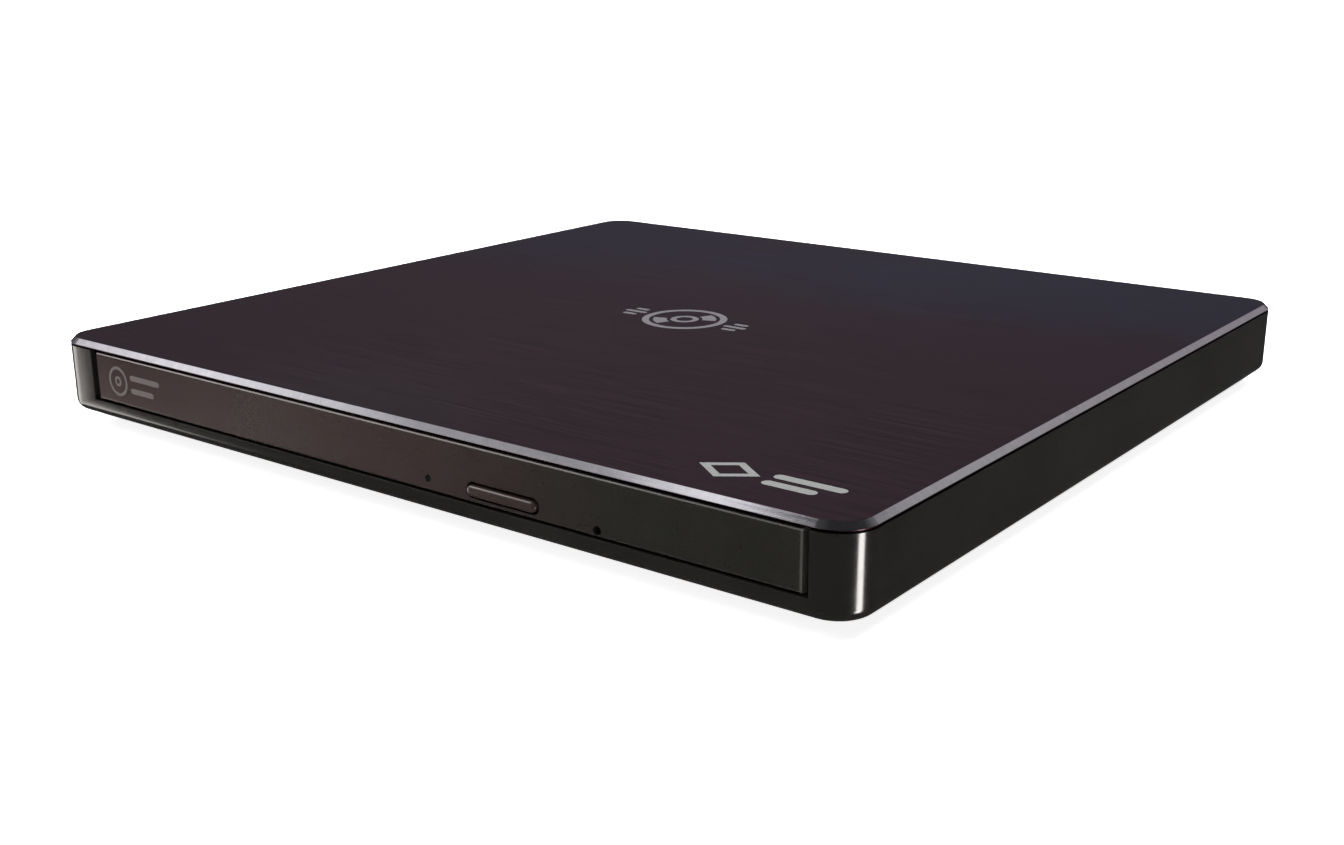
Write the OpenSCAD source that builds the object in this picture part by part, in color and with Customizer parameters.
// External slim optical drive: a flat enclosure that holds a tray-loading disc drive.
// Millimetres. X runs across the front, -Y is the side the tray comes out of, +Z is up.
// The origin is on the surface that the feet stand on, under the middle of the case.

/* [Enclosure] */
// Width of the enclosure across the front
case_w = 144; // [140:0.5:150]
// Depth of the enclosure, front to back
case_d = 137.5; // [136:0.5:145]
// Radius of the four corners seen from above
corner_r = 5; // [5:0.5:7]
// Thickness of the side walls
wall = 1.3; // [1.1:0.1:1.6]
// Thickness of the floor
floor_t = 1.2; // [1:0.1:1.2]
// Height of the underside above the surface it stands on
foot_h = 1.6; // [1.2:0.1:1.6]
// Radius of the round where the walls turn under
under_r = 1.7; // [1.5:0.1:1.8]
// Height of the lowest point of that round
under_z = 2.4; // [2.2:0.1:2.8]
// How far the flat underside is set in from the walls
belly_inset = 4.8; // [4:0.1:4.8]
// Height of the top of the walls
wall_top = 12.8; // [12.7:0.1:12.8]
// Height of the underside of the top plate, above the dark reveal
plate_z = 13.1; // [13.1:0.1:13.3]
// Thickness of the aluminium top plate
plate_t = 0.9; // [0.9:0.1:1.2]
// Bright bevel cut around the edge of the top plate
bevel = 0.8; // [0.3:0.1:0.8]

/* [Bezel] */
// Width of the tray bezel
bezel_w = 127.7; // [126:0.1:128]
// Middle of the drive and its bezel, off the middle of the case
drive_x = 1.75; // [1.5:0.05:2]
// Underside of the bezel
bezel_z = 5.2; // [5.2:0.1:5.4]
// Height of the bezel
bezel_h = 7.55; // [7.3:0.05:7.6]
// Thickness of the bezel
bezel_t = 2.85; // [2.5:0.05:2.9]
// Length of the eject button
button_l = 11.6; // [11:0.1:12]
// Height of the eject button
button_h = 1.7; // [1.5:0.1:1.8]

/* [Drive] */
// Width of the steel chassis between its side walls' outsides
drive_w = 127; // [126:0.5:127]
// Thickness of the steel base pan
pan_t = 0.5; // [0.4:0.1:0.6]
// Thickness of the steel lid
lid_t = 0.4; // [0.3:0.1:0.5]
// Radius of the disc recess in the tray
recess_r = 60.4; // [60.2:0.1:60.6]
// Turn of the laser sled's track from straight right towards the front
track_turn = 45; // [43:1:47]
// Pitch of the lead screw
screw_pitch = 3; // [2:0.5:4]

/* [Hidden] */
$fn = 48;
eps = 0.01;

// Enclosure
half_w = case_w / 2;
half_d = case_d / 2;
front_y = -half_d;
floor_z = foot_h + floor_t;
case_h = plate_z + plate_t;
tongue_t = 1;
tongue_z = 11;
frame_ring = 4.5;
frame_inset = 0.9;
foot_r = 4.5;
foot_x = 58;
foot_y = [-55.4, 59.4];
foot_pocket = 0.3;
rear_screw_y = 60.4;
snap_y = [-38, 0, 38];
snap_l = 6;

// Bridge board at the back
bridge_z = 4.5;
bridge_top = bridge_z + 1;
bridge_screw_x = [-18, 40];
bridge_screw_y = 63.8;
usb_x = -12;
usb_z = 7.65;

// Drive, in levels from the pan up
drive_half = drive_w / 2;
pan_z = 4.4;
pan_top = pan_z + pan_t;
lid_z = 12;
chassis_y0 = -65.5;
chassis_y1 = 57.35;
guide_z = [6, 10];
rail_x = [59.4, 61.8];
rail_z = [7, 9];
rail_y = [-62, 54];
slide_gap = 0.05;
guide_x = [60.6, 62.95];
ear_y = [-40, 40];
ear_x = 2.4;
ear_w = 6;
ear_l = 4.4;
lid_screw_y = [-50, 45];
lid_screw_z = 11.2;

// Bezel
bezel_y = front_y + 0.15;
bezel_back = bezel_y + bezel_t;
bezel_edge_r = 0.5;
opening_x = [-63.4, 66.5];
opening_z = 5;
button_x = 22.1;
button_z = 6.9;
button_gap = 0.25;
flange_z = [5.9, 8.3];
stem_z = 7.9;
lens_x = 9.25;
lens_z = 6.9;
lens_r = 0.5;
pinhole_x = 37.2;
pinhole_z = 6.05;
pinhole_r = 0.6;

// Tray, in levels
tray_top = 11.4;
tray_floor = 9.9;
tray_under = 9.2;
tray_skirt = 5.8;
tray_flange_z = 10.15;
tray_half = 60.5;
flange_half = 62.6;
tray_y0 = bezel_back;
tray_y1 = 52;
small_disc_r = 40.4;
disc_y = -4.8;
plate_low = 5.5;
board_z = 6.6;
board_t = 0.8;
flex_x = -40;
flex_w = 12;
flex_t = 0.1;
flex_y = [-19, 52.6];
flex_end_y = 43;
lock_x = 48;
lock_y = 24;
lock_r = 1;
lever_x = 43.5;
lever_y = 42;
lever_turn = 13;
lever_z = [6.2, 7.4];
hook_y = 16.7;
plunger_x = -8;
plunger_z = 7.5;
board_post_at = [[-52, -56], [-52, 0], [-52, 44], [-18, 44], [6, -58.5]];
plate_screw_x = 58.6;
plate_screw_y = [-56, -8, 46];

// Traverse, in its own frame: +X outwards along the sled's track
hub_r = 7.45;
disc_z = 10.5;
claw_z = [11.28, 11.62];
hub_z = 11.2;
claw_turns = [90, 210, 330];
rods_y = 12.5;
rod_r = 1;
rod_z = 7.4;
rod_x = [13, 64.2];
frame_z = [6.2, 8.5];
frame_x = [-21, 64.6];
frame_half = 20;
frame_tip = 14.2;
bay_x = [14, 63.2];
bay_half = 14.6;
screw_y = 17.2;
screw_x = [17, 58.2];
screw_r = 0.95;
shaft_r = 0.5;
sled_x = [16, 31];
sled_z = [6.3, 8.5];
sled_half = 14;
optic_x = 23;
damper_at = [[-16.5, 15.5], [-16.5, -15.5], [50, -17.2]];
cover_screw_at = [[-6, 17.6], [-6, -17.6], [40, -17.2]];
running = 0.03;

// ---------- shared shapes ----------

// The upright section of such a block: mirrored [inset, height] points, with a round on each side
module block_section(half, edge, round_r, round_z) {
    flip = [for (i = [len(edge) - 1:-1:0]) edge[i]];
    polygon(concat([for (p = edge) [-half + p[0], p[1]]], [for (p = flip) [half - p[0], p[1]]]));
    if (round_r > 0) for (s = [-1, 1]) translate([s * (half - round_r), round_z]) circle(round_r);
}

// A block with rounded upright corners and an edge profile of [inset, height] points, bottom first
module profiled_block(w, d, r, edge, round_r = 0, round_z = 0) {
    last = len(edge) - 1;
    rotate([90, 0, 90]) translate([0, 0, -(w / 2 - r)]) linear_extrude(w - 2 * r)
        block_section(d / 2, edge, round_r, round_z);
    rotate([90, 0, 0]) translate([0, 0, -(d / 2 - r)]) linear_extrude(d - 2 * r)
        block_section(w / 2, edge, round_r, round_z);
    turned = [for (p = edge) [r - p[0], p[1]]];
    for (x = [-1, 1], y = [-1, 1]) translate([x * (w / 2 - r), y * (d / 2 - r), 0]) rotate_extrude() {
        polygon(concat([[0, edge[0][1]]], turned, [[0, edge[last][1]]]));
        if (round_r > 0) translate([r - round_r, round_z]) circle(round_r);
    }
}

// A flat rectangle with round corners, centred
module round_rect(w, d, r) {
    square([w - 2 * r, d], center = true);
    square([w, d - 2 * r], center = true);
    for (x = [-1, 1], y = [-1, 1]) translate([x * (w / 2 - r), y * (d / 2 - r)]) circle(r);
}

// A box between two corners
module span(low, high) {
    translate(low) cube(high - low);
}

// A slab of a flat outline between two heights
module slab(z0, z1) {
    translate([0, 0, z0]) linear_extrude(z1 - z0) children();
}

// A pan-head screw standing on its head, shank up, with a cross recess in the head
module screw(head_r, head_h, shank_r, shank_l) {
    recess = head_h * 0.55;
    difference() {
        union() {
            cylinder(r = head_r, h = head_h);
            cylinder(r = shank_r, h = head_h + shank_l);
        }
        for (a = [0, 90]) rotate(a)
            translate([0, 0, recess / 2 - eps])
                cube([head_r * 1.2, head_r * 0.28, recess], center = true);
    }
}

// A flat-ended slot outline along X, with round ends
module pill(l, h) {
    square([l - h, h], center = true);
    for (x = [-1, 1]) translate([x * (l - h) / 2, 0]) circle(h / 2);
}

module at_drive() {
    translate([drive_x, 0, 0]) children();
}

module at_disc() {
    translate([drive_x, disc_y, 0]) children();
}

module at_track() {
    at_disc() rotate(-track_turn) children();
}

// Both sides of the drive, the child drawn for the right side
module both_sides() {
    for (s = [0, 1]) mirror([s, 0, 0]) children();
}

// ---------- enclosure ----------

module top_plate() {
    color("#3a3038") difference() {
        profiled_block(case_w, case_d, corner_r,
            [[0, plate_z], [0, case_h - bevel], [bevel, case_h]]);
        // two thin glue channels under the plate
        for (x = [-1, 1]) span([x * 68 - 0.4, -55, plate_z - eps], [x * 68 + 0.4, 60, plate_z + 0.2]);
    }
}

module top_frame() {
    inner = wall + 0.1 + tongue_t;
    opening_inset = frame_inset + frame_ring;
    boss_h = wall_top - 5.5;
    color("#1c1b1c") {
        difference() {
            union() {
                profiled_block(case_w - 2 * frame_inset, case_d - 2 * frame_inset,
                    corner_r - frame_inset, [[0, wall_top], [0, plate_z]]);
                profiled_block(case_w - 2 * (wall + 0.1), case_d - 2 * (wall + 0.1),
                    corner_r - wall - 0.1, [[0, tongue_z], [0, wall_top]]);
            }
            // the middle is open above the drive
            slab(wall_top - 1, plate_z + 1)
                round_rect(case_w - 2 * opening_inset, case_d - 2 * opening_inset, 3);
            slab(tongue_z - 1, wall_top - eps)
                round_rect(case_w - 2 * inner, case_d - 2 * inner, 2.5);
            // nothing crosses the tray's way out
            span([opening_x[0] - 2.6, front_y - 1, tongue_z - 1], [opening_x[1] + 2.6, -58, plate_z + 1]);
            span([-half_w, front_y - 1, tongue_z - 1], [half_w, -62, wall_top]);
        }
        // cross bars between the side rails
        for (y = [-1, 1]) span([-67, 22 * y - 2, wall_top], [67, 22 * y + 2, plate_z]);
        // bosses that the two case screws run into
        for (x = [-1, 1]) translate([x * foot_x, rear_screw_y, 5.5]) difference() {
            cylinder(r = 2.4, h = boss_h + 0.2);
            translate([0, 0, -1]) cylinder(r = 0.8, h = boss_h);
        }
        // snap noses
        for (x = [-1, 1], y = snap_y)
            span([x * (half_w - wall - 0.05) - 0.3, y - snap_l / 2, 11.3],
                 [x * (half_w - wall - 0.05) + 0.3, y + snap_l / 2, 12.1]);
    }
}

module case_block() {
    profiled_block(case_w, case_d, corner_r,
        [[belly_inset, foot_h], [under_r, under_z], [0, under_z + under_r], [0, wall_top]],
        under_r, under_z + under_r);
}

// What stands inside the bottom case: jambs, bosses, posts and ribs
module case_inside() {
    // jambs beside the tray opening
    span([opening_x[0] - 1.2, front_y - 1, floor_z - 0.2], [opening_x[0], -60, wall_top]);
    span([opening_x[1], front_y - 1, floor_z - 0.2], [opening_x[1] + 1.2, -60, wall_top]);
    // bosses of the case screws
    for (x = [-1, 1]) translate([x * foot_x, rear_screw_y, foot_h]) cylinder(r = 2.8, h = 5.4 - foot_h);
    // posts under the drive's ears
    at_drive() both_sides() for (y = ear_y)
        translate([drive_half + ear_x, y, floor_z - 0.5]) cylinder(r = 1.9, h = pan_z - floor_z + 0.5);
    // posts under the bridge board
    for (x = bridge_screw_x) translate([x, bridge_screw_y, floor_z - 0.2])
        cylinder(r = 1.8, h = bridge_z - floor_z + 0.2);
    // stiffening ribs on the floor
    for (x = [-36, 0, 36]) span([x - 0.4, -60, floor_z - 0.2], [x + 0.4, 52, floor_z + 0.7]);
    for (y = [-30, 30]) span([-58, y - 0.4, floor_z - 0.2], [58, y + 0.4, floor_z + 0.7]);
}

module bottom_case() {
    color("#232122") difference() {
        union() {
            difference() {
                case_block();
                profiled_block(case_w - 2 * wall, case_d - 2 * wall, corner_r - wall,
                    [[belly_inset - wall + 0.1, floor_z], [1.2, under_z + 1.2],
                     [0, under_z + under_r + 0.7], [0, wall_top + 1]]);
            }
            intersection() {
                case_block();
                case_inside();
            }
        }
        // tray opening
        span([opening_x[0], front_y - 1, opening_z], [opening_x[1], -62, wall_top + 1]);
        // seats of the feet
        for (x = [-1, 1], y = foot_y) translate([x * foot_x, y, foot_h - 1])
            cylinder(r = foot_r + 0.1, h = 1 + foot_pocket);
        // case screws: sunk head and clearance hole
        for (x = [-1, 1]) translate([x * foot_x, rear_screw_y, 0]) {
            translate([0, 0, foot_h]) cylinder(r = 2.2, h = 2);
            cylinder(r = 1, h = 6);
        }
        // screw holes of the drive's ears and of the bridge board
        at_drive() both_sides() for (y = ear_y)
            translate([drive_half + ear_x, y, floor_z + 0.1]) cylinder(r = 0.8, h = 3);
        for (x = bridge_screw_x) translate([x, bridge_screw_y, floor_z]) cylinder(r = 0.7, h = 3);
        // window for the cable's plug, with a sunk surround
        translate([usb_x, half_d, usb_z]) rotate([90, 0, 0]) {
            translate([0, 0, -1]) linear_extrude(4) round_rect(8.3, 4.6, 0.6);
            translate([0, 0, -1]) linear_extrude(1.4) round_rect(11.4, 6.8, 1.2);
        }
        // cooling slots through the floor
        for (i = [-4:4]) translate([i * 3, 38, foot_h - 1]) linear_extrude(2 + floor_t) rotate(90)
            pill(9, 1.2);
        // snap pockets
        for (x = [-1, 1], y = snap_y)
            span([x * (half_w - wall) - 0.5, y - snap_l / 2 - 0.2, 11.2],
                 [x * (half_w - wall) + 0.5, y + snap_l / 2 + 0.2, 12.2]);
    }
}

module feet() {
    top = foot_h + foot_pocket;
    color("#2b2b2b") for (x = [-1, 1], y = foot_y) translate([x * foot_x, y, 0]) rotate_extrude()
        polygon([[0, 0], [foot_r - 0.5, 0], [foot_r, 0.5], [foot_r, top], [0, top]]);
}

module enclosure_screws() {
    color("#8a8a8e") for (x = [-1, 1]) translate([x * foot_x, rear_screw_y, 2.4]) screw(1.9, 1.2, 0.8, 7);
}

module rating_label() {
    color("#b9babc") slab(foot_h - 0.1, foot_h) translate([0, -8]) round_rect(52, 30, 1.5);
}

module drive_cushions() {
    color("#303030") at_drive() both_sides() for (y = [-50, 45]) translate([50, y, 0])
        slab(floor_z, pan_z) round_rect(12, 7, 1.5);
}

// ---------- bridge electronics at the back ----------

module bridge_board() {
    color("#1f5a3a") difference() {
        span([-24, 58.4, bridge_z], [46, 66.2, bridge_top]);
        for (x = bridge_screw_x) translate([x, bridge_screw_y, bridge_z - 1]) cylinder(r = 0.9, h = 3);
    }
}

module bridge_chips() {
    color("#18181a") {
        span([-3.5, 60, bridge_top], [2.5, 65.8, bridge_top + 0.9]);
        span([26, 62.8, bridge_top], [31, 65.8, bridge_top + 0.8]);
        for (x = [6:3:18]) span([x, 64.6, bridge_top], [x + 1.6, 65.5, bridge_top + 0.6]);
        span([-22.6, 59.2, bridge_top], [-20.4, 61.4, bridge_top + 1.4]);
        translate([34, 64, bridge_top]) cylinder(r = 1.5, h = 1.6);
    }
}

module usb_port() {
    depth = 9;
    y1 = half_d - 0.3;
    color("#b8b8b4") difference() {
        union() {
            translate([usb_x, y1, usb_z]) rotate([90, 0, 0]) linear_extrude(depth) usb_outline(0);
            for (x = [-1, 1]) span([usb_x + x * 3.6 - 0.3, y1 - 6.4, bridge_top],
                                   [usb_x + x * 3.6 + 0.3, y1 - 4.4, usb_z]);
        }
        translate([usb_x, y1 + 1, usb_z]) rotate([90, 0, 0]) linear_extrude(depth) usb_outline(0.35);
    }
    color("#151515") span([usb_x - 2.2, y1 - depth + 0.9, usb_z - 0.35],
                          [usb_x + 2.2, y1 - 1.4, usb_z + 0.35]);
}

// Plug face of the small five-pin socket, narrower at its foot
module usb_outline(inset) {
    w = 3.85 - inset;
    h = 1.98 - inset;
    polygon([[-w, h], [w, h], [w, -h * 0.1], [w - 0.9, -h], [-w + 0.9, -h], [-w, -h * 0.1]]);
}

module sata_socket() {
    color("#1b1b1d") difference() {
        span([4.5, 57.7, bridge_top], [38.5, 61.6, 9.4]);
        for (x = [[6, 20.5], [22.5, 37]]) span([x[0], 57, 6.9], [x[1], 60.6, 8.3]);
    }
}

module board_screws() {
    color("#8a8a8e") for (x = bridge_screw_x)
        translate([x, bridge_screw_y, bridge_top + 0.8]) mirror([0, 0, 1]) screw(1.6, 0.8, 0.7, 2.2);
}

// ---------- fixed part of the drive ----------

module drive_base() {
    color("#9a9c9f") at_drive() difference() {
        union() {
            span([-drive_half, chassis_y0, pan_z], [drive_half, chassis_y1, pan_top]);
            both_sides() span([drive_half - pan_t, chassis_y0, pan_z], [drive_half, chassis_y1, lid_z]);
            span([-drive_half, chassis_y1 - pan_t, pan_z], [drive_half, chassis_y1, lid_z]);
            both_sides() for (y = ear_y)
                span([drive_half - pan_t, y - ear_w / 2, pan_z],
                     [drive_half + ear_l, y + ear_w / 2, pan_top]);
            // pressed stiffening ribs
            for (x = [-24, 24]) slab(pan_top - eps, pan_top + 0.2) translate([x, -30]) rotate(90)
                pill(46, 4);
        }
        // openings pressed out of the floor
        slab(pan_z - 1, pan_top + 1) translate([-2, 30]) round_rect(26, 22, 4);
        slab(pan_z - 1, pan_top + 1) translate([22, 6]) circle(8);
        both_sides() for (y = ear_y)
            translate([drive_half + ear_x, y, pan_z - 1]) cylinder(r = 0.9, h = 3);
        // window in the rear wall for the connector
        span([4 - drive_x, chassis_y1 - 2, 5], [39 - drive_x, chassis_y1 + 1, 9.6]);
        // seats of the lid screws
        lid_screw_holes();
    }
}

module lid_screw_holes() {
    both_sides() for (y = lid_screw_y)
        translate([drive_half - 1, y, lid_screw_z]) rotate([0, 90, 0]) cylinder(r = 0.75, h = 3);
}

module drive_lid() {
    lip = 0.4;
    edge = drive_half + slide_gap + lip;
    color("#a7a9ac") at_drive() difference() {
        union() {
            span([-edge, chassis_y0, lid_z], [edge, chassis_y1, lid_z + lid_t]);
            both_sides() span([edge - lip, chassis_y0, 10.2], [edge, chassis_y1, lid_z + lid_t]);
            translate([0, disc_y, lid_z]) cylinder(r = 17, h = lid_t + 0.25);
        }
        translate([0, disc_y, lid_z - 1]) cylinder(r = 16.4, h = 1.3);
        lid_screw_holes();
    }
}

module lid_screws() {
    color("#8a8a8e") at_drive() both_sides() for (y = lid_screw_y)
        translate([drive_half + 0.8, y, lid_screw_z]) rotate([0, -90, 0]) screw(1.1, 0.35, 0.75, 0.75);
}

module drive_screws() {
    color("#8a8a8e") at_drive() both_sides() for (y = ear_y)
        translate([drive_half + ear_x, y, pan_top + 0.8]) mirror([0, 0, 1]) screw(1.6, 0.8, 0.8, 1.9);
}

module rail_guide() {
    color("#d9d6cf") difference() {
        span([guide_x[0], -60, guide_z[0]], [guide_x[1], 55, guide_z[1]]);
        span([guide_x[0] - 1, -61, rail_z[0] - slide_gap],
             [rail_x[1] + slide_gap, 56, rail_z[1] + slide_gap]);
        for (y = [-40, 40]) span([guide_x[0] - 1, y - 5, 9.5], [guide_x[1] - 0.8, y + 5, 11]);
    }
}

module rail_guide_left() {
    at_drive() mirror([1, 0, 0]) rail_guide();
}

module rail_guide_right() {
    at_drive() rail_guide();
}

module rear_board() {
    color("#1f5a3a") span([-48, 52.6, pan_top], [40, 56.7, pan_top + 0.4]);
}

module drive_connector() {
    top = pan_top + 0.4;
    color("#1b1b1d") {
        span([5, 53, top], [38, 57.2, 9.2]);
        for (x = [[6.2, 20.3], [22.7, 36.8]]) span([x[0], 57.1, 7.05], [x[1], 60.2, 8.15]);
        span([flex_x - 7, 53.2, top], [flex_x + 7, 56.4, top + 0.9]);
    }
}

module lock_pin() {
    color("#c8c9cb") translate([lock_x, lock_y, pan_top]) {
        cylinder(r = lock_r + 0.8, h = 0.3);
        cylinder(r = lock_r, h = 2.8);
    }
}

// ---------- telescoping rails ----------

module rail() {
    color("#c3c5c8") difference() {
        span([rail_x[0], rail_y[0], rail_z[0]], [rail_x[1], rail_y[1], rail_z[1]]);
        span([rail_x[0] + 0.6, rail_y[0] + 4, 7.4], [rail_x[1] + 1, rail_y[1] - 4, 8.6]);
    }
}

module rail_left() {
    at_drive() mirror([1, 0, 0]) rail();
}

module rail_right() {
    at_drive() rail();
}

// ---------- tray ----------

// The window in the tray over the spindle and the sled's track
module tray_window() {
    circle(r = 25);
    translate([28.5, 0]) round_rect(57, 32, 4);
    translate([30.3, 0]) round_rect(60.6, 17, 2);
}

module tray() {
    beam = 3;
    color("#1d1d1f") difference() {
        union() {
            at_drive() {
                span([-flange_half, tray_y0, tray_flange_z], [flange_half, tray_y1, tray_top]);
                span([-tray_half, tray_y0, tray_under], [tray_half, tray_y1, tray_flange_z + eps]);
                both_sides() span([tray_half - beam, tray_y0, tray_skirt],
                                  [tray_half, tray_y1, tray_under + eps]);
                span([-tray_half, tray_y0, tray_skirt], [tray_half, tray_y0 + beam, tray_under + eps]);
            }
            // bosses for the traverse's damper screws
            at_track() for (p = damper_at) translate([p[0], p[1], frame_z[1] + 0.1])
                cylinder(r = 1.5, h = tray_under - frame_z[1] - 0.1 + eps);
            // posts over the circuit board
            for (p = board_post_at) translate([p[0], p[1], board_z + board_t])
                cylinder(r = 1.7, h = tray_under - board_z - board_t + eps);
            // bracket that guides the eject plunger
            span([plunger_x - 2.5, 47.5, plunger_z - 1.5], [plunger_x + 2.5, tray_y1, tray_under + eps]);
            span([plunger_x - 2.5, 30, plunger_z - 1.5], [plunger_x + 2.5, 32, tray_under + eps]);
        }
        // disc recess with the step for small discs
        translate([drive_x, disc_y, tray_floor]) cylinder(r = recess_r, h = 5, $fn = 180);
        translate([drive_x, disc_y, tray_floor - 0.35]) cylinder(r = small_disc_r, h = 5, $fn = 120);
        slab(tray_skirt - 1, tray_floor + eps) at_track() tray_window();
        // grooves of the two rails
        at_drive() both_sides() span([rail_x[0] - slide_gap, tray_y0 + 2.5, rail_z[0] - slide_gap],
                                     [tray_half + 1, tray_y1 + 1, rail_z[1] + slide_gap]);
        // relief over the fixed rail guides
        at_drive() both_sides() span([tray_half, tray_y0 - 1, tray_skirt - 1],
                                     [flange_half + 1, tray_y1 + 1, tray_flange_z]);
        // finger notches on the front edge of the recess
        for (x = [-38, 41.5]) translate([x, -46.5, tray_floor - 0.2]) cylinder(r = 9, h = 3);
        // ways through the front beam for button, light and release wire
        span([button_x - button_l / 2 - 0.7, -80, flange_z[0] - 0.2],
             [button_x + button_l / 2 + 0.7, 0, flange_z[1] + 0.15]);
        translate([lens_x, 0, lens_z]) rotate([90, 0, 0]) cylinder(r = lens_r + 0.05, h = 80);
        translate([pinhole_x, -50, pinhole_z]) rotate([90, 0, 0]) cylinder(r = pinhole_r + 0.2, h = 30);
        // clearance around the damper screws, the board screws and the plunger
        at_track() for (p = damper_at) translate([p[0], p[1], 0]) cylinder(r = 0.7, h = tray_under + 0.4);
        for (p = board_post_at) translate([p[0], p[1], 0]) cylinder(r = 0.7, h = tray_under + 0.3);
        translate([plunger_x, 29, plunger_z]) rotate([-90, 0, 0]) cylinder(r = 0.85, h = 30);
        at_drive() both_sides() for (y = plate_screw_y)
            translate([plate_screw_x, y, 0]) cylinder(r = 0.6, h = 6.8);
    }
}

module tray_screws() {
    color("#8a8a8e") {
        at_drive() both_sides() for (y = plate_screw_y)
            translate([plate_screw_x, y, plate_low - 0.15]) screw(1.2, 0.15, 0.6, 1.2);
        for (p = board_post_at) translate([p[0], p[1], board_z - 0.5]) screw(1.3, 0.5, 0.7, 2.6);
    }
}

module tray_bottom_plate() {
    color("#a7a9ac") difference() {
        at_drive() span([-60, -65, plate_low], [60, 50, tray_skirt]);
        span([flex_x - flex_w / 2 - 2, -26, plate_low - 1], [flex_x + flex_w / 2 + 2, 51, 7]);
        span([lock_x - 2.2, lock_y - 2.4, plate_low - 1], [lock_x + 2.2, 51, 7]);
        slab(plate_low - 1, 7) at_track() {
            circle(r = 9);
            translate([40, 0]) round_rect(36, 20, 3);
        }
        slab(plate_low - 1, 7) translate([22, 34]) round_rect(24, 14, 3);
        slab(plate_low - 1, 7) for (i = [0:3]) translate([-14 + i * 6, -54]) rotate(90) pill(8, 2.4);
        at_drive() both_sides() for (y = plate_screw_y)
            translate([plate_screw_x, y, 0]) cylinder(r = 0.7, h = 8);
    }
}

module tray_board() {
    color("#1f5a3a") difference() {
        slab(board_z, board_z + board_t) polygon([[-55, -62.3], [27.5, -62.3], [27.5, -60],
            [-28.4, -4.2], [-14, 10.2], [-14, 48], [-55, 48]]);
        for (p = board_post_at) translate([p[0], p[1], 0]) cylinder(r = 0.8, h = 10);
    }
}

module tray_chips() {
    top = board_z + board_t;
    color("#18181a") {
        span([-48, -22, top], [-36, -10, top + 1.1]);
        span([-49, 8, top], [-40, 17, top + 1]);
        span([-30, 14, top], [-24, 20, top + 0.9]);
        span([-28, 30, top], [-22, 35, top + 0.9]);
        span([-46, -44, top], [-38, -38, top + 1]);
        for (y = [-34:4:-26], x = [-50:3.4:-36]) span([x, y, top], [x + 1.6, y + 0.9, top + 0.5]);
        for (y = [22:4:38]) span([-50, y, top], [-48.4, y + 0.9, top + 0.6]);
        // folded cable's socket and the pickup's socket
        span([flex_x - 7, flex_end_y - 1.6, board_z - 0.2], [flex_x + 7, flex_end_y + 2, board_z]);
        span([-34, -8, top], [-30.9, 4, top + 0.9]);
    }
}

module eject_switch() {
    color("#c9c9c4") {
        span([button_x - 3, -62.25, board_z + board_t], [button_x + 3, -60, 9]);
        translate([button_x, -62.25, stem_z]) rotate([90, 0, 0]) cylinder(r = 0.5, h = 1.8);
    }
}

module eject_button() {
    color("#2a2728") {
        translate([button_x, bezel_back, button_z]) rotate([90, 0, 0])
            linear_extrude(bezel_back - front_y - 0.2) pill(button_l, button_h);
        translate([button_x, bezel_back, button_z]) rotate([90, 0, 0])
            linear_extrude(bezel_back - front_y) pill(button_l - 0.4, button_h - 0.4);
        // rear flange that keeps it in the bezel, and the stem to the switch
        span([button_x - button_l / 2 - 0.5, bezel_back, flange_z[0]],
             [button_x + button_l / 2 + 0.5, bezel_back + 0.8, flange_z[1]]);
        translate([button_x, -64.7, stem_z]) rotate([90, 0, 0]) cylinder(r = 0.5, h = 0.8);
    }
}

module activity_lens() {
    lens_back = -62.4;
    color("#d6e6f2") translate([lens_x, lens_back, lens_z]) rotate([90, 0, 0])
        cylinder(r = lens_r, h = lens_back - bezel_y);
}

module bezel() {
    mid_z = bezel_z + bezel_h / 2;
    back = 1.4;
    color("#37302d") difference() {
        // the bar's section: rounded front edges, square at the back
        translate([drive_x - bezel_w / 2, 0, mid_z]) rotate([90, 0, 90]) linear_extrude(bezel_w) {
            translate([bezel_y + bezel_edge_r, -bezel_h / 2]) square([bezel_t - bezel_edge_r, bezel_h]);
            translate([bezel_y, -bezel_h / 2 + bezel_edge_r]) square([bezel_t, bezel_h - 2 * bezel_edge_r]);
            for (s = [-1, 1]) translate([bezel_y + bezel_edge_r, s * (bezel_h / 2 - bezel_edge_r)])
                circle(bezel_edge_r);
        }
        // hollow above the tray's front beam
        span([drive_x - 62, bezel_y + back, 10.3],
             [drive_x + 62, bezel_back + 1, bezel_z + bezel_h - 0.9]);
        translate([button_x, bezel_back + 1, button_z]) rotate([90, 0, 0])
            linear_extrude(bezel_t + 2) pill(button_l + 2 * button_gap, button_h + 2 * button_gap);
        for (hole = [[lens_x, lens_z, lens_r + 0.02], [pinhole_x, pinhole_z, pinhole_r]])
            translate([hole[0], bezel_back + 1, hole[1]]) rotate([90, 0, 0])
                cylinder(r = hole[2], h = bezel_t + 2);
    }
}

// The folded flat cable: along the pan, round the fold and back to the board
module flex_cable() {
    low = pan_top + 0.05;
    high = board_z - 0.3;
    r = (high + flex_t - low) / 2;
    color("#b98a4a") translate([flex_x - flex_w / 2, 0, 0]) rotate([90, 0, 90]) linear_extrude(flex_w) {
        translate([flex_y[0], low]) square([flex_y[1] - flex_y[0], flex_t]);
        translate([flex_y[0], high]) square([flex_end_y - flex_y[0], flex_t]);
        translate([flex_y[0], low + r]) intersection() {
            difference() {
                circle(r);
                circle(r - flex_t);
            }
            translate([-2 * r, -2 * r]) square([2 * r, 4 * r]);
        }
    }
}

// ---------- traverse: spindle, sled and their frame ----------

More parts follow.
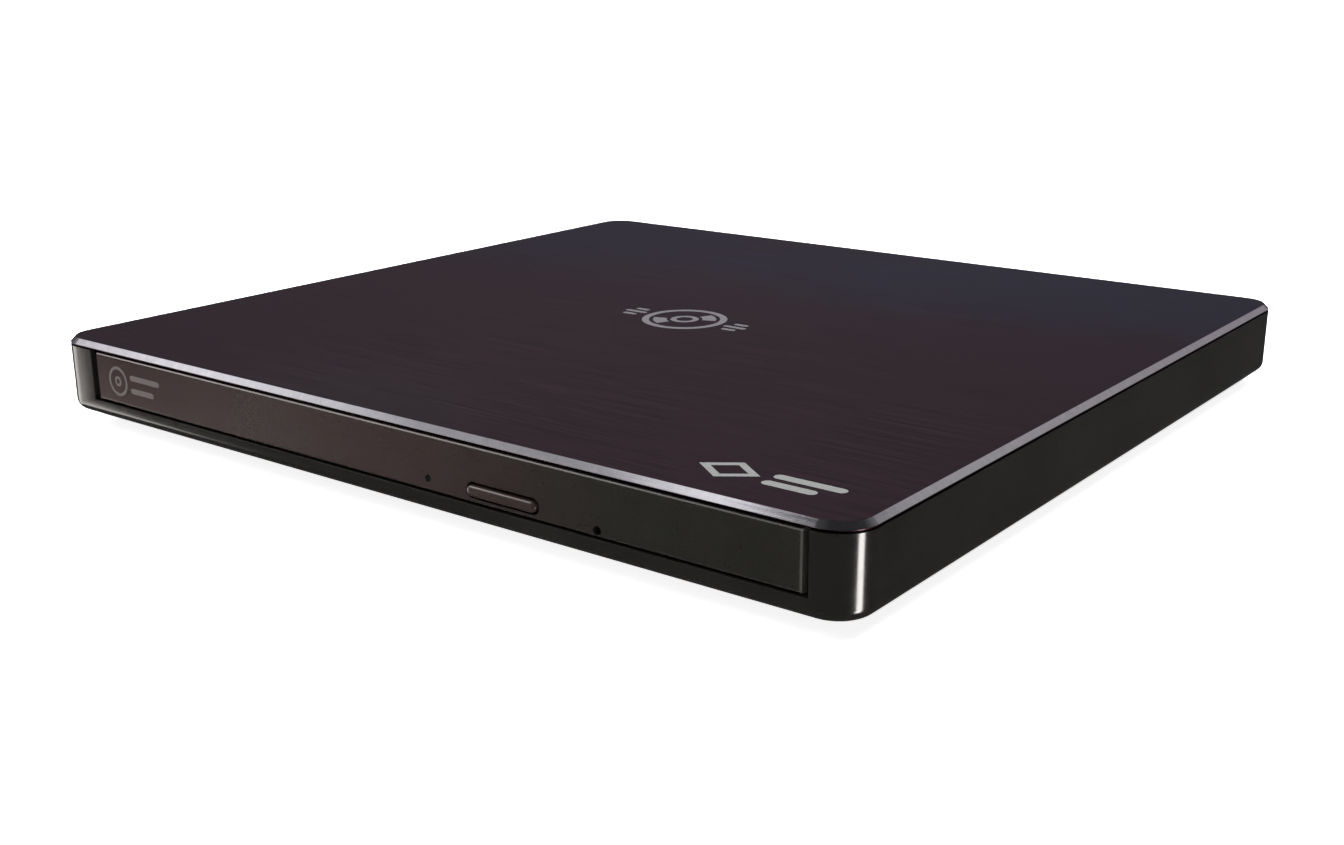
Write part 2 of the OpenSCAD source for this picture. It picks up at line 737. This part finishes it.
module frame_outline() {
    polygon([[frame_x[0], -frame_half], [58.8, -frame_half], [frame_x[1], -frame_tip],
             [frame_x[1], frame_tip], [58.8, frame_half], [frame_x[0], frame_half]]);
}

module traverse_frame() {
    color("#4a4c50") at_track() difference() {
        slab(frame_z[0], frame_z[1]) frame_outline();
        span([bay_x[0], -bay_half, 5], [bay_x[1], bay_half, 9]);
        translate([0, 0, 5]) cylinder(r = 12.3, h = 5);
        span([5, bay_half - 1, 5], [screw_x[1], 19.2, 9]);
        // rod seats, screw bearing and damper holes
        for (s = [-1, 1]) translate([rod_x[0], s * rods_y, rod_z]) rotate([0, 90, 0])
            cylinder(r = rod_r, h = rod_x[1] - rod_x[0]);
        translate([screw_x[1] - 1, screw_y, rod_z]) rotate([0, 90, 0])
            cylinder(r = shaft_r + running, h = 2.5);
        for (p = damper_at) translate([p[0], p[1], 5]) cylinder(r = 1.7, h = 5);
        for (p = damper_at) translate([p[0], p[1], 0]) {
            translate([0, 0, 5]) cylinder(r = 2.3, h = frame_z[0] + 0.6 - 5);
            translate([0, 0, frame_z[1] - 0.5]) cylinder(r = 2.3, h = 1);
        }
        for (p = cover_screw_at) translate([p[0], p[1], 7]) cylinder(r = 0.6, h = 2);
    }
}

module traverse_cover() {
    color("#b4b6b9") at_track() {
        slab(frame_z[1] + 0.1, frame_z[1] + 0.4) difference() {
            frame_outline();
            circle(r = 12.6);
            translate([38.9, 0]) round_rect(43.4, 16, 1.5);
            for (p = damper_at) translate(p) circle(r = 2.6);
            for (p = cover_screw_at) translate(p) circle(r = 0.7);
            // window over the stepper motor
            translate([5.4, screw_y - 2.1]) square([11.3, 4.2]);
        }
    }
}

module cover_screws() {
    color("#8a8a8e") at_track() for (p = cover_screw_at)
        translate([p[0], p[1], frame_z[1] + 0.6]) mirror([0, 0, 1]) screw(1.2, 0.2, 0.6, 1.6);
}

module traverse_dampers() {
    color("#2f3133") at_track() for (p = damper_at) translate([p[0], p[1], 0]) difference() {
        union() {
            translate([0, 0, frame_z[0]]) cylinder(r = 1.65, h = frame_z[1] - frame_z[0] + 0.1);
            translate([0, 0, frame_z[0]]) cylinder(r = 2.2, h = 0.6);
            translate([0, 0, frame_z[1] - 0.5]) cylinder(r = 2.2, h = 0.6);
        }
        cylinder(r = 0.75, h = 12);
    }
}

module traverse_screws() {
    color("#8a8a8e") at_track() for (p = damper_at)
        translate([p[0], p[1], tray_skirt + 0.05]) screw(1.8, 0.35, 0.7, 3.2);
}

module spindle_stator() {
    color("#6f7276") at_track() difference() {
        union() {
            slab(5.9, frame_z[0]) round_rect(27, 27, 3);
            translate([0, 0, frame_z[0] - eps]) cylinder(r = 2.3, h = 2.7);
            // wound poles round the bearing
            for (a = [0:40:320]) rotate(a) {
                span([2, -0.7, 6.3], [9.2, 0.7, 7.5]);
                span([4, -1.2, 6.2], [8, 1.2, 7.6]);
                span([8.6, -1.9, 6.3], [9.9, 1.9, 7.5]);
            }
        }
        translate([0, 0, frame_z[0] - 0.1]) cylinder(r = rod_r + running, h = 5);
    }
}

module turntable() {
    color("#3c3d40") at_disc() difference() {
        union() {
            translate([0, 0, 6.4]) cylinder(r = rod_r, h = 3);
            rotate_extrude() polygon([[0, 9.05], [10.9, 9.05], [10.9, 7.8], [11.5, 7.8], [11.5, 9.4],
                                      [14.6, 9.4], [14.6, 10.2], [0, 10.2]]);
            cylinder_between(hub_r, 10.1, hub_z);
            // tapered cap that holds the claws
            translate([0, 0, hub_z]) rotate_extrude()
                polygon([[0, 0], [hub_r - 0.08, 0], [hub_r - 0.16, 0.45], [hub_r - 0.4, 0.7], [0, 0.7]]);
        }
        for (a = claw_turns) rotate(a) span([3.6, -1.55, claw_z[0] - slide_gap],
                                            [hub_r + 1, 1.55, claw_z[1] + slide_gap]);
        translate([0, 0, hub_z]) cylinder(r = 2.6, h = 1);
    }
}

module cylinder_between(r, z0, z1) {
    translate([0, 0, z0]) cylinder(r = r, h = z1 - z0);
}

module turntable_ring() {
    color("#26282a") at_disc() difference() {
        cylinder_between(14.4, 10.2, disc_z);
        cylinder_between(11.6, 10, 11);
    }
}

// A sprung finger of the hub that holds the disc by the edge of its hole
module claw(turn) {
    color("#8d9094") at_disc() rotate(turn) slab(claw_z[0], claw_z[1])
        polygon([[4.6, -1.5], [7.2, -1.5], [7.75, -0.8], [7.75, 0.8], [7.2, 1.5], [4.6, 1.5]]);
}

module claw_1() {
    claw(claw_turns[0]);
}

module claw_2() {
    claw(claw_turns[1]);
}

module claw_3() {
    claw(claw_turns[2]);
}

module guide_rods() {
    color("#d4d6d8") at_track() for (s = [-1, 1])
        translate([rod_x[0], s * rods_y, rod_z]) rotate([0, 90, 0])
            cylinder(r = rod_r, h = rod_x[1] - rod_x[0]);
}

module sled() {
    color("#5b5d61") at_track() difference() {
        span([sled_x[0], -sled_half, sled_z[0]], [sled_x[1], sled_half, sled_z[1]]);
        translate([sled_x[0] - 1, rods_y, rod_z]) rotate([0, 90, 0]) cylinder(r = rod_r + running, h = 20);
        // open fork on the second rod
        translate([sled_x[0] - 1, -rods_y, rod_z]) rotate([0, 90, 0]) cylinder(r = rod_r + running, h = 20);
        span([sled_x[0] - 1, -sled_half - 1, rod_z - rod_r - running],
             [sled_x[1] + 1, -rods_y, rod_z + rod_r + running]);
        // relief between the two bearings
        span([sled_x[0] + 4, rods_y - 1.6, 5], [sled_x[1] - 4, sled_half + 1, 9]);
        // well of the lens mover
        span([optic_x - 6.4, -7.7, 6.9], [optic_x + 6.4, 7.7, 9]);
        span([sled_x[1] - 1.4, -9, 7.6], [sled_x[1] + 1, 9, 9]);
    }
}

module sled_nut() {
    color("#e3e1d8") at_track() {
        span([18, sled_half, 6.9], [19.5, 16.1, 7.9]);
        span([18, sled_half, 6.9], [22, sled_half + 0.6, 7.9]);
        span([18, 15.4, 6.9], [22, 16.1, 7.9]);
    }
}

module focus_magnets() {
    color("#8e9196") at_track() for (s = [-1, 1])
        span([optic_x + s * 5.75 - 0.6, -4.5, 6.9], [optic_x + s * 5.75 + 0.6, 4.5, 8.45]);
}

module lens_holder() {
    color("#1a1a1c") at_track() difference() {
        slab(7.3, 9.4) translate([optic_x, 0]) round_rect(9.4, 14.2, 1.2);
        translate([optic_x, 0, 7]) cylinder(r = 2.3, h = 3);
        for (s = [-1, 1]) span([optic_x - 3, s * 5.4 - 0.8, 7], [optic_x + 3, s * 5.4 + 0.8, 8.6]);
    }
}

module objective_lens() {
    cap_r = 4;
    color("#9fb6d8") at_track() translate([optic_x, 0, 0]) intersection() {
        cylinder_between(2.3, 8.6, 9.8);
        translate([0, 0, 9.75 - cap_r]) sphere(r = cap_r);
    }
}

module stepper_motor() {
    color("#a9abaf") at_track() difference() {
        union() {
            translate([6, screw_y, rod_z]) rotate([0, 90, 0]) cylinder(r = 1.5, h = 10);
            span([15.9, screw_y - 1.9, 6.3], [16.3, screw_y + 1.9, 8.5]);
        }
        translate([15, screw_y, rod_z]) rotate([0, 90, 0]) cylinder(r = shaft_r + running, h = 2);
    }
}

module lead_screw() {
    turns = (screw_x[1] - screw_x[0] - 2) / screw_pitch;
    color("#c2c4c6") at_track() translate([0, screw_y, rod_z]) rotate([0, 90, 0]) {
        translate([0, 0, screw_x[0] - 1.6]) cylinder(r = shaft_r, h = screw_x[1] - screw_x[0] + 2.8);
        cylinder_between(0.7, screw_x[0] - 0.4, screw_x[1] - 0.4);
        translate([0, 0, screw_x[0] + 0.6]) linear_extrude(
            height = turns * screw_pitch, twist = -360 * turns, slices = turns * 12, $fn = 12)
            translate([0.3, 0]) circle(r = screw_r - 0.3);
    }
}

// ---------- lock and push-out ----------

module solenoid() {
    color("#b98a4a") {
        difference() {
            span([27, 32, 6], [36, 44, 8.9]);
            span([28.2, 31, 6.8], [34.8, 45, 8.1]);
        }
        translate([31.5, 33, 7.45]) rotate([-90, 0, 0]) cylinder(r = 1.2, h = 10);
        span([36, 37, 6.6], [38.2, 39, 7.2]);
    }
}

module lever_pivot() {
    color("#c8c9cb") translate([lever_x, lever_y, tray_skirt]) {
        cylinder(r = 1, h = tray_under - tray_skirt);
        cylinder(r = 1.8, h = 0.3);
    }
}

// Drawn let go: it turns by lever_turn to hook behind the lock pin
module lock_lever() {
    color("#d9d6cf") translate([lever_x, lever_y, 0]) rotate(-lever_turn) slab(lever_z[0], lever_z[1])
        difference() {
            union() {
                circle(r = 2.4);
                translate([-1.4, -hook_y]) square([2.4, hook_y]);
                translate([-1.4, -hook_y]) square([6.3, 2.1]);
                translate([-5.2, -3]) square([5.2, 2.2]);
            }
            circle(r = 1 + running + 0.02);
        }
}

module eject_plunger() {
    color("#d9d6cf") translate([plunger_x, 0, plunger_z]) rotate([-90, 0, 0]) {
        cylinder_between(0.8, 29.5, 56.7);
        cylinder_between(1.5, 45.2, 46);
    }
}

// Round wire wound into a helix along +Z
module coil(r, wire_r, turns, length) {
    steps = turns * 14;
    sides = 6;
    function turn(i) = 360 * turns * i / steps;
    function place(i) = [r * cos(turn(i)), r * sin(turn(i)), length * i / steps];
    points = [for (i = [0:steps], k = [0:sides - 1])
        let (c = place(i), a = turn(i), b = 360 * k / sides)
        c + wire_r * [cos(a) * cos(b), sin(a) * cos(b), sin(b)]];
    sleeve = [for (i = [0:steps - 1], k = [0:sides - 1])
        let (n = (k + 1) % sides, j = i * sides) [j + k, j + sides + k, j + sides + n, j + n]];
    polyhedron(points, concat(sleeve, [[for (k = [0:sides - 1]) k]],
        [[for (k = [sides - 1:-1:0]) steps * sides + k]]));
}

module eject_spring() {
    color("#c8c9cb") translate([plunger_x, 32.3, plunger_z]) rotate([-90, 0, 0]) coil(1.15, 0.18, 8, 12.4);
}

top_plate();
top_frame();
bottom_case();
feet();
enclosure_screws();
rating_label();
drive_cushions();
bridge_board();
bridge_chips();
usb_port();
sata_socket();
board_screws();
drive_base();
drive_lid();
lid_screws();
drive_screws();
rail_guide_left();
rail_guide_right();
rear_board();
drive_connector();
lock_pin();
rail_left();
rail_right();
tray();
bezel();
tray_screws();
tray_bottom_plate();
tray_board();
tray_chips();
eject_switch();
eject_button();
activity_lens();
flex_cable();
traverse_frame();
traverse_cover();
traverse_dampers();
traverse_screws();
spindle_stator();
turntable();
turntable_ring();
claw_1();
claw_2();
claw_3();
guide_rods();
sled();
sled_nut();
focus_magnets();
lens_holder();
objective_lens();
stepper_motor();
lead_screw();
solenoid();
lever_pivot();
lock_lever();
eject_plunger();
eject_spring();
cover_screws();
